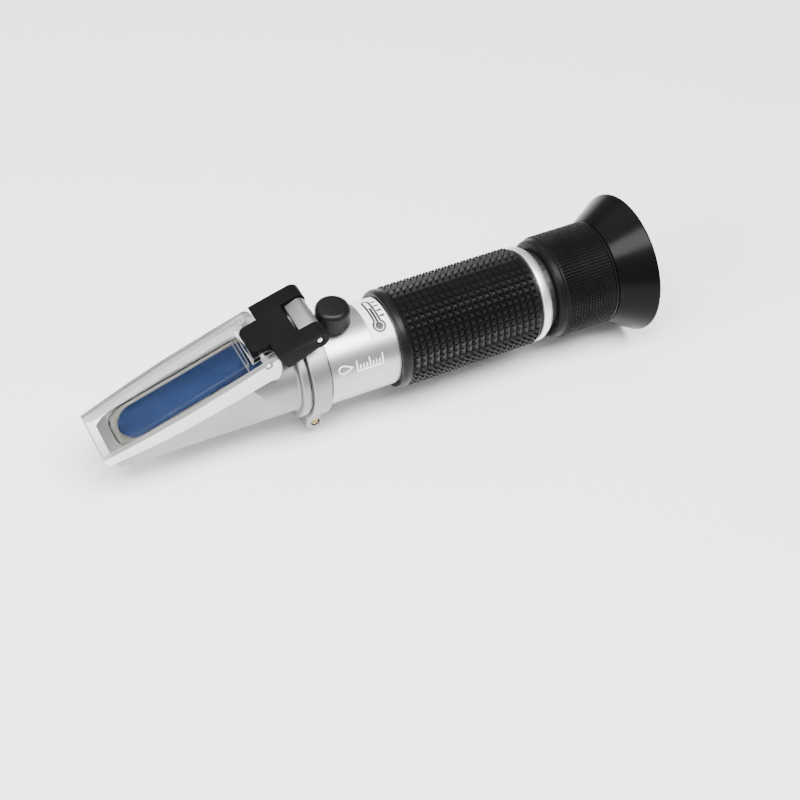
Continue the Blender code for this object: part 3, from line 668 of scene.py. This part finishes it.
def wrapped(name, strips, radius, thickness):
    """Flat strips of (along, round) quads laid on a cylinder about the axis and given thickness.

    Each strip is a list of (left, right) point pairs; "round" is a length along the surface, positive
    towards the far side from the top.
    """
    vertices = []
    faces = []

    def on_cylinder(point, level):
        angle = point[1] / radius
        return place(point[0], level * math.sin(angle), level * math.cos(angle))

    for strip in strips:
        start = len(vertices)
        for left, right in strip:
            for level in (radius, radius + thickness):
                vertices.append(on_cylinder(left, level))
                vertices.append(on_cylinder(right, level))
        for index in range(len(strip) - 1):
            a = start + 4 * index
            b = a + 4
            faces += [[a, a + 1, b + 1, b], [a + 2, b + 2, b + 3, a + 3], [a, b, b + 2, a + 2],
                      [a + 1, a + 3, b + 3, b + 1]]
        end = start + 4 * (len(strip) - 1)
        faces += [[start, start + 2, start + 3, start + 1], [end, end + 1, end + 3, end + 2]]
    return finished(name, vertices, faces)


def stroke(path, width):
    """A strip of even width along a path of (along, round) points."""
    strip = []
    for index, point in enumerate(path):
        before = Vector(path[max(index - 1, 0)])
        after = Vector(path[min(index + 1, len(path) - 1)])
        forward = (after - before).normalized()
        sideways = Vector((-forward.y, forward.x)) * (width / 2.0)
        strip.append((tuple(Vector(point) - sideways), tuple(Vector(point) + sideways)))
    return strip


def straight(start, end, steps=6):
    return [tuple(Vector(start).lerp(Vector(end), step / steps)) for step in range(steps + 1)]


def make_label():
    half = math.radians(38.0) * TUBE_RADIUS
    low, high = node_box("info_label")
    columns = 40
    strip = []
    for step in range(columns + 1):
        across = -half + 2.0 * half * step / columns
        strip.append(((low.x, across), (high.x, across)))
    label = wrapped("label_sheet", [strip], TUBE_RADIUS + 0.12, 0.1)
    dress(label, LABEL_WHITE, "barrel", "white_label", "info_label")

    middle = (low.x + high.x) / 2.0
    bulb = -4.6
    neck = math.degrees(math.asin(0.85 / 1.6))
    bulb_arc = arc((middle, bulb), 1.6, 90.0 + neck, 450.0 - neck, 28)
    crown = arc((middle, 4.2), 0.85, 0.0, 180.0, 12)
    neck_end = bulb_arc[-1][1]
    right = straight((middle + 0.85, neck_end + 0.3), (middle + 0.85, 4.0), 10)
    left = straight((middle - 0.85, 4.0), (middle - 0.85, neck_end + 0.3), 10)
    outline = bulb_arc + right + crown + left + [bulb_arc[0]]
    disc = [((middle - across, bulb + along), (middle + across, bulb + along))
            for along, across in arc((0.0, 0.0), 1.1, 180.0, 0.0, 14)]
    strips = [stroke(outline, 0.6), stroke(straight((middle, bulb), (middle, 1.6)), 0.7), disc]
    for tick in range(4):
        across = -1.9 + 1.9 * tick
        strips.append(stroke([(middle + 1.3, across), (middle + 2.7, across)], 0.6))
    mark = wrapped("label_thermometer", strips, TUBE_RADIUS + 0.225, 0.02)
    dress(mark, PRINT_BLACK, "barrel", "black_plastic")


def make_etched_mark():
    """A drop beside a short measuring scale, etched on the tube."""
    middle = math.radians(-61.0) * TUBE_RADIUS
    drop = []
    for step in range(37):
        angle = 2.0 * math.pi * step / 36
        spread = math.sin(angle / 2.0) ** 1.5
        drop.append((-13.2 + 2.0 * math.cos(angle), middle - 1.5 * math.sin(angle) * spread))
    strips = [stroke(drop, 0.32)]
    strips.append(stroke(straight((-10.1, middle - 1.6), (-2.3, middle - 1.6), 2), 0.32))
    for tick in range(9):
        along = -9.95 + 0.94 * tick
        length = 3.0 if tick % 4 == 0 else 1.7
        strips.append(stroke(straight((along, middle - 1.6), (along, middle - 1.6 + length), 4), 0.3))
    mark = wrapped("etched_scale", strips, TUBE_RADIUS + 0.005, 0.03)
    dress(mark, ETCHED, "barrel", "satin_tube")


def make_cap():
    base = node_box("calibration_cap")[0].z
    inner = 3.5
    profile = fillet([(CAP_TOP, 0.0, 0.0), (CAP_TOP, 4.67, 1.6), (base + 1.6, 4.67, 1.0),
                      (base + 0.3, CAP_RADIUS, 0.1), (base, CAP_RADIUS, 0.15), (base, inner, 0.0),
                      (17.1, inner, 0.0), (17.4, 0.0, 0.0)], 10, closed=False)
    cap = lathe("cap_moulding", profile, 112, "Z", (CAP_STATION, 0.0), closed=False)
    dress(cap, CAP_RUBBER, "cap", "black_rubber", "calibration_cap")
    stem = 2.6
    bush = fillet([(15.6, 3.2, 0.2), (TUBE_RADIUS + FIT, 3.2, 0.0), (TUBE_RADIUS + FIT, stem, 0.0),
                   (10.6, stem, 0.0), (10.6, 1.8, 0.0), (13.6, 1.8, 0.0), (13.6, 2.4, 0.0),
                   (15.6, 2.4, 0.1)], 4)
    dress(lathe("bush_turned", bush, 72, "Z", (CAP_STATION, 0.0)), STEEL, "barrel", "steel",
          "calibration_bush")
    for name, material in (("calibration_screw", BRASS), ("screw_seal", CAP_RUBBER)):
        paint(name, material)


# ---------------------------------------------------------------- grip and eyepiece

def studded(name, smooth, start, end, columns, rows, split, valley, height, top_share):
    """A turned sleeve with rows of raised pyramids between two stations.

    smooth is the rest of the closed profile, from the rear end of the pyramids round to their front end.
    Each mould sector is pulled off along its middle, so its pyramids lean that way, and they are
    shorter away from the middle.
    """
    around = rows * split
    vertices = []

    def add_ring(along, radius):
        first = len(vertices)
        for step in range(around):
            vertices.append(turned_point("X", (0.0, 0.0), along, radius, 2.0 * math.pi * step / around))
        return first

    rings = [add_ring(along, radius) for along, radius in smooth]
    faces = []
    for first, second in zip(rings, rings[1:]):
        for step in range(around):
            after = (step + 1) % around
            faces.append([first + step, first + after, second + after, second + step])

    pitch = (end - start) / columns
    lines = [rings[-1]] + [add_ring(start + pitch * column, valley) for column in range(1, columns)]
    lines.append(rings[0])
    sector_width = 2.0 * math.pi / MOULD_SECTORS
    for column in range(columns):
        front, rear = lines[column], lines[column + 1]
        for row in range(rows):
            steps = [(row * split + step) % around for step in range(split + 1)]
            middle = 2.0 * math.pi * (row + 0.5) / rows
            sector = math.floor((middle - FIRST_SECTOR) / sector_width)
            pull = FIRST_SECTOR + (sector + 0.5) * sector_width
            sideways = STUD_LEAN * height * math.sin(pull - middle)
            lift = height * (1.0 - STUD_SHORTENING + STUD_SHORTENING * math.cos(pull - middle))
            half_along = pitch * top_share / 2.0
            half_round = math.pi * valley / rows * top_share
            centre = start + pitch * (column + 0.5)
            corners = []
            for side_along, side_round in ((-1, -1), (-1, 1), (1, 1), (1, -1)):
                angle = middle + (sideways + side_round * half_round) / valley
                corners.append(len(vertices))
                vertices.append(turned_point("X", (0.0, 0.0), centre + side_along * half_along,
                                             valley + lift, angle))
            front_edge = [front + step for step in steps]
            rear_edge = [rear + step for step in steps]
            faces.append(corners)
            faces.append(front_edge + [corners[1], corners[0]])
            faces.append(rear_edge[::-1] + [corners[3], corners[2]])
            faces.append([front_edge[0], corners[0], corners[3], rear_edge[0]])
            faces.append([front_edge[-1], rear_edge[-1], corners[2], corners[1]])
    return finished(name, vertices, faces, 20.0)


def make_grip():
    bore = TUBE_RADIUS + FIT
    depth = 1.05
    valley = GRIP_RADIUS - depth
    start = GRIP_FRONT + 3.3
    end = GRIP_REAR - 0.5
    smooth = [(end, valley), (GRIP_REAR, valley), (GRIP_REAR, bore), (GRIP_FRONT, bore)]
    smooth += fillet([(GRIP_FRONT, bore, 0.0), (GRIP_FRONT, 13.25, 0.35), (GRIP_FRONT + 0.9, 13.85, 0.7),
                      (GRIP_FRONT + 2.4, 13.85, 0.6), (GRIP_FRONT + 2.8, 13.1, 0.0)], 6, closed=False)[1:]
    smooth.append((start, valley))
    grip = studded("grip_sleeve", smooth, start, end, 20, 44, 4, valley, depth, 0.16)
    dress(grip, GRIP_RUBBER, "barrel", "grip_rubber", "grip")


def make_rear_ring():
    front = GRIP_REAR + 0.3
    rear = node_box("rear_ring")[1].x
    spigot = 10.5
    profile = fillet([(rear, 9.6, 0.0), (rear, 12.6, 0.25), (rear - 0.9, 12.95, 0.2),
                      (rear - 1.0, 13.25, 0.15), (rear - 1.6, 13.3, 0.1), (rear - 1.65, 13.62, 0.15),
                      (front + 0.25, 13.65, 0.3), (front, 13.2, 0.1), (front, spigot, 0.0),
                      (38.0, spigot, 0.0), (38.0, 9.6, 0.0)])
    ring = lathe("silver_ring", profile, FINEST)
    dress(ring, BRIGHT_RING, "barrel", "satin_tube", "rear_ring")


def make_focus_ring():
    depth = 0.34
    valley = FOCUS_RADIUS - depth
    start = FOCUS_FRONT + 2.5
    end = FOCUS_REAR - 0.7
    smooth = [(end, valley)]
    smooth += fillet([(end + 0.05, FOCUS_RADIUS, 0.0), (FOCUS_REAR, FOCUS_RADIUS, 0.2),
                      (FOCUS_REAR, 8.8, 0.0)], 4, closed=False)
    smooth += [(67.0, 8.8), (67.0, 11.3), (61.6, 11.3), (61.6, 11.9), (FOCUS_FRONT, 11.9)]
    smooth += fillet([(FOCUS_FRONT, 12.2, 0.0), (FOCUS_FRONT, 13.9, 1.3), (FOCUS_FRONT + 2.0, 14.35, 1.2),
                      (FOCUS_FRONT + 2.3, 14.2, 0.0)], 8, closed=False)
    smooth.append((start, valley))
    ring = studded("focus_knurl", smooth, start, end, 17, 102, 2, valley, depth, 0.4)
    dress(ring, FOCUS_BLACK, "focus", "focus_plastic", "focus_ring")


def make_eyecup():
    floor = EYECUP_FRONT + 1.6
    outer = EYECUP_RADIUS
    rear = EYECUP_REAR
    profile = fillet([(rear, outer - 0.75, 0.25), (rear, outer, 0.25), (rear - 0.6, outer, 0.3),
                      (EYECUP_FRONT + 0.5, 15.0, 1.2), (EYECUP_FRONT, 14.7, 0.15), (EYECUP_FRONT, 8.6, 0.0),
                      (floor, 8.6, 0.3), (floor, 13.6, 0.9)], 8)
    cup = lathe("eyecup_flare", profile, 224)
    dress(cup, EYECUP_RUBBER, "focus", "eyecup_rubber", "eyecup")


def make_inner_pieces():
    for name in ("eyepiece_barrel", "lens_cell", "lens_spacer", "lens_lock_ring", "lens_carrier",
                 "reticle_holder"):
        paint(name, INNER_BLACK)
    for name in ("eye_lens", "field_lens", "objective_lens", "reticle"):
        paint(name, LENS_GLASS)
    for name in ("carrier_pivot_near", "carrier_pivot_far", "carrier_spring"):
        paint(name, STEEL)
    paint("bimetal_strip", BRASS)


# ---------------------------------------------------------------- stage

def make_floor():
    made, _, _, shader = new_material("floor")
    shader.inputs["Base Color"].default_value = (0.86, 0.86, 0.86, 1.0)
    shader.inputs["Roughness"].default_value = 0.7
    vertices = [(-3.0, -3.0, 0.0), (3.0, -3.0, 0.0), (3.0, 3.0, 0.0), (-3.0, 3.0, 0.0)]
    mesh = bpy.data.meshes.new("floor")
    mesh.from_pydata(vertices, [], [[0, 1, 2, 3]])
    mesh.materials.append(made)
    floor = bpy.data.objects.new("floor", mesh)
    bpy.context.scene.collection.objects.link(floor)


def add_light(name, position, target, size, power, size_y=None):
    data = bpy.data.lights.new(name, "AREA")
    data.shape = "RECTANGLE"
    data.size = size
    data.size_y = size_y or size
    data.energy = power
    lamp = bpy.data.objects.new(name, data)
    lamp.location = position
    lamp.rotation_euler = (Vector(target) - Vector(position)).to_track_quat("-Z", "Y").to_euler()
    bpy.context.scene.collection.objects.link(lamp)


def make_lights():
    world = bpy.data.worlds.new("studio")
    bpy.context.scene.world = world
    world.use_nodes = True
    world.node_tree.nodes["Background"].inputs["Color"].default_value = (1.0, 1.0, 1.0, 1.0)
    world.node_tree.nodes["Background"].inputs["Strength"].default_value = 0.5
    aim = (0.0, 0.0, 0.02)
    add_light("overhead", (-0.05, -0.22, 0.75), aim, 0.9, 24.0, 0.4)
    add_light("left", (-0.75, -0.15, 0.45), aim, 0.35, 8.0)
    add_light("far", (-0.3, 0.9, 1.2), aim, 1.7, 7.0, 0.9)


def make_camera():
    data = bpy.data.cameras.new("camera")
    data.sensor_width = 36.0
    data.lens = 76.5
    camera = bpy.data.objects.new("camera", data)
    camera.location = Vector((-158.55, -273.71, 352.90)) * MM
    aim = Vector((-2.43, -21.29, 20.0)) * MM
    turn = (aim - camera.location).to_track_quat("-Z", "Y").to_matrix()
    roll = Matrix.Rotation(math.radians(5.894), 3, "Z")
    camera.rotation_euler = (turn @ roll).to_euler()
    bpy.context.scene.collection.objects.link(camera)
    bpy.context.scene.camera = camera


make_camera()
make_lights()
make_floor()
make_head()
make_daylight_plate()
make_bracket()
make_pins()
make_clamp()
make_tube()
make_label()
make_etched_mark()
make_cap()
make_grip()
make_rear_ring()
make_focus_ring()
make_eyecup()
make_inner_pieces()
